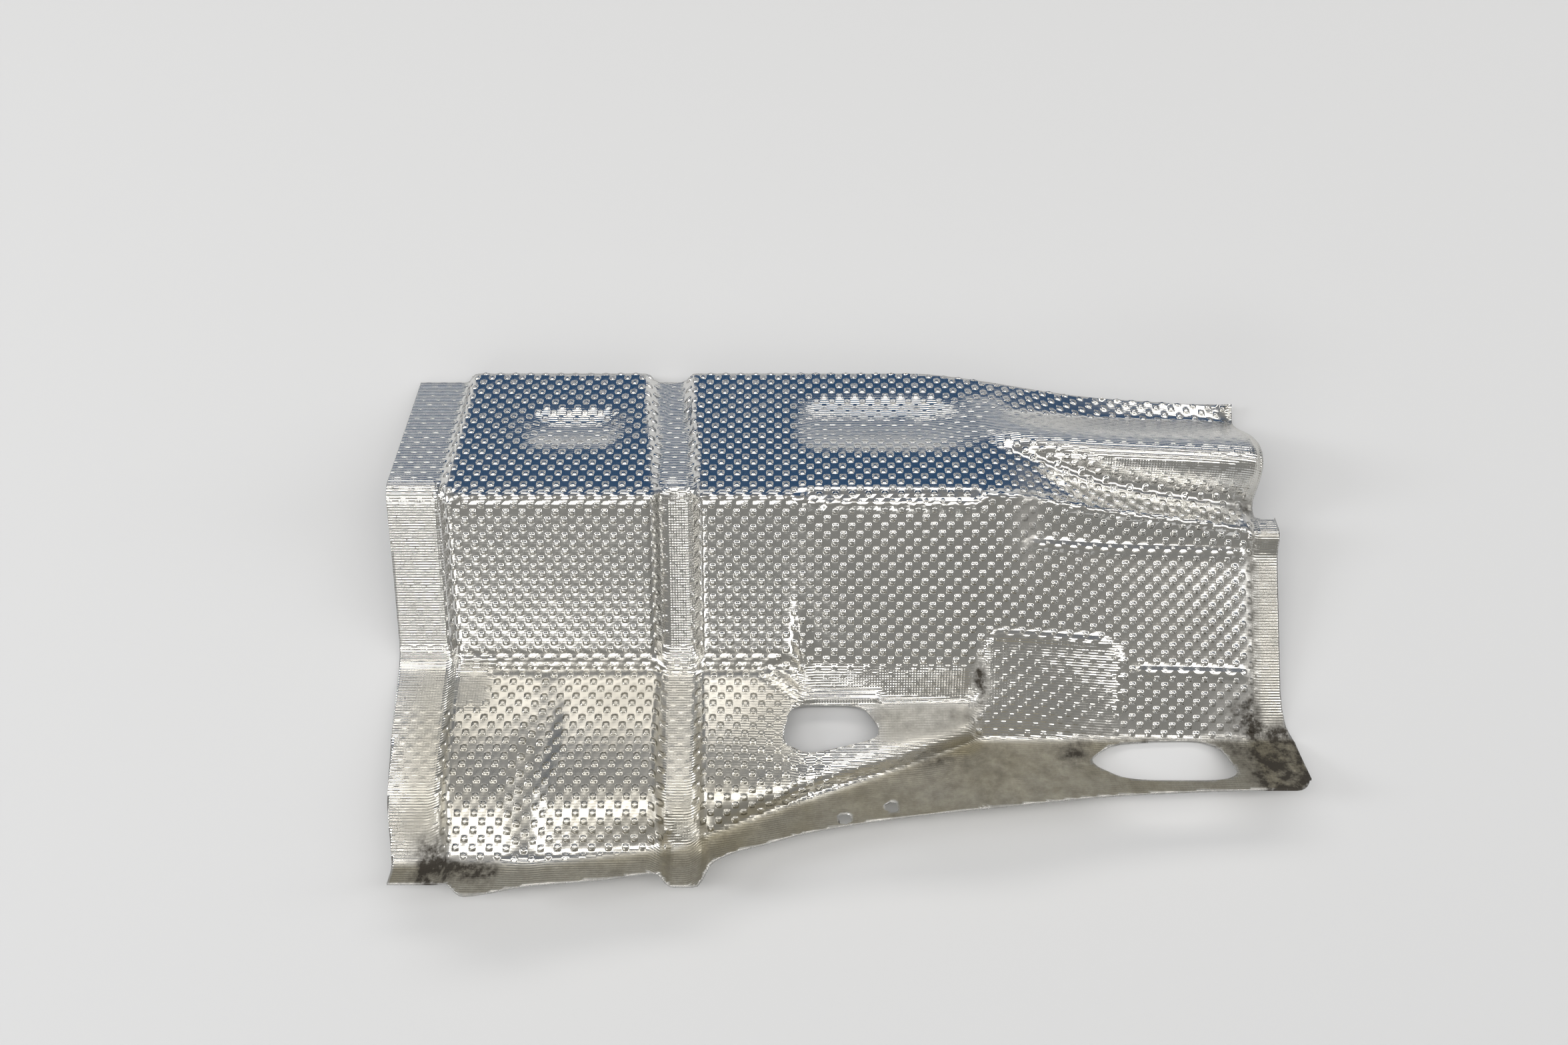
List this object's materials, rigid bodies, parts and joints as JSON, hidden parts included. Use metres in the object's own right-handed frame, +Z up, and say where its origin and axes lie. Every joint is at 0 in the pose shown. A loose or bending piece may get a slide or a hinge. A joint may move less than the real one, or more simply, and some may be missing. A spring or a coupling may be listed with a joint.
{
  "type": "heat shield",
  "caption": "Pressed embossed aluminium heat shield with raised pads, a bead, a half-pipe channel, a bent flange with fixing holes and through openings",
  "frame": {"origin": "centre of the bounding box on the floor the sheet lies on", "axes": "X along the sheet, Y from its bent front flange to its back edge, Z up from the floor"},
  "size_m": [0.393, 0.2366, 0.0479],
  "materials": {
    "embossed_aluminium": "embossed bare sheet, dull bright, slightly stained"
  },
  "bodies": {
    "root": {"heat_shield": "embossed_aluminium"}
  },
  "joints": []
}
